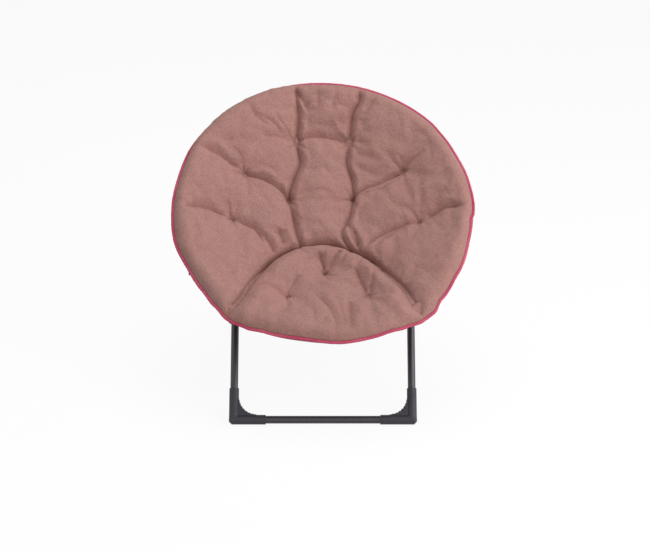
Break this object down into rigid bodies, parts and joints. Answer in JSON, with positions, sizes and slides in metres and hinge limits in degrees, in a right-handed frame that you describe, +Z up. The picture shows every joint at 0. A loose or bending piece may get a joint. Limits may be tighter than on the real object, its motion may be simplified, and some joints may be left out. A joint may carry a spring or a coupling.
{
  "type": "folding saucer chair",
  "caption": "Folding lounge chair with a tilted round padded bowl seat on two crossed tube leg frames; rim and legs hinge so it closes for storage.",
  "frame": {"origin": "on the floor at the chair's middle plane, midway between the front and rear ground rails", "axes": "+Z up, the sitter faces -Y, +X to the right as seen from the front"},
  "size_m": [0.8014, 0.6663, 0.7176],
  "materials": {
    "graphite_paint": "dark graphite gloss paint on steel tube",
    "foot_plastic": "moulded dark graphite plastic",
    "hinge_paint": "dark painted steel",
    "nylon": "black nylon",
    "rivet_steel": "dull zinc",
    "fleece": "dusty pink curly fleece",
    "piping_cloth": "raspberry woven piping",
    "backing_cloth": "plain dusty pink woven backing",
    "tuft_plastic": "moulded tuft disc"
  },
  "bodies": {
    "front_leg_frame": {"front_ground_rail": "graphite_paint", "front_leg_left": "graphite_paint", "front_leg_right": "graphite_paint", "front_foot_left": "foot_plastic", "front_foot_right": "foot_plastic", "front_leg_caps": "foot_plastic", "crossing_rivets": "rivet_steel", "crossing_spacers": "nylon", "back_pivot_rivets": "rivet_steel"},
    "rear_leg_frame": {"rear_ground_rail": "graphite_paint", "rear_leg_left": "graphite_paint", "rear_leg_right": "graphite_paint", "rear_foot_left": "foot_plastic", "rear_foot_right": "foot_plastic", "rear_leg_caps": "foot_plastic", "rear_leg_rivets": "rivet_steel"},
    "back_rim": {"back_rim_tube": "graphite_paint", "back_knuckle_left": "hinge_paint", "back_knuckle_right": "hinge_paint", "rim_hinge_pins": "rivet_steel", "back_cushion": "fleece", "back_sling": "backing_cloth", "back_piping": "piping_cloth", "back_tuft_buttons": "fleece", "back_tuft_discs": "tuft_plastic"},
    "seat_rim": {"front_rim_tube": "graphite_paint", "front_knuckle_left": "hinge_paint", "front_knuckle_right": "hinge_paint", "front_ear_rivets": "rivet_steel", "seat_cushion": "fleece", "seat_sling": "backing_cloth", "seat_piping": "piping_cloth", "seat_tuft_buttons": "fleece", "seat_tuft_discs": "tuft_plastic"}
  },
  "joints": [
    {"name": "leg_fold", "type": "hinge", "parent": "front_leg_frame", "child": "rear_leg_frame", "pos_m": [0, -0.07717, 0.251], "axis": [-1, 0, 0], "range_deg": [0, 73.4]},
    {"name": "back_rim_pivot", "type": "hinge", "parent": "front_leg_frame", "child": "back_rim", "pos_m": [0, 0.24458, 0.61826], "axis": [1, 0, 0], "range_deg": [0, 12.31], "deforming": ["back_cushion", "back_sling", "back_piping", "back_tuft_buttons", "back_tuft_discs"]},
    {"name": "rim_hinge", "type": "hinge", "parent": "back_rim", "child": "seat_rim", "pos_m": [0, -0.11665, 0.36701], "axis": [-1, 0, 0], "range_deg": [0, 144.75], "deforming": ["seat_cushion", "seat_sling", "seat_piping", "seat_tuft_buttons", "seat_tuft_discs"]}
  ],
  "couplings": [
    {"joint": "back_rim_pivot", "follows": "leg_fold", "ratio": 0.16756},
    {"joint": "rim_hinge", "follows": "leg_fold", "ratio": 1.9713}
  ]
}
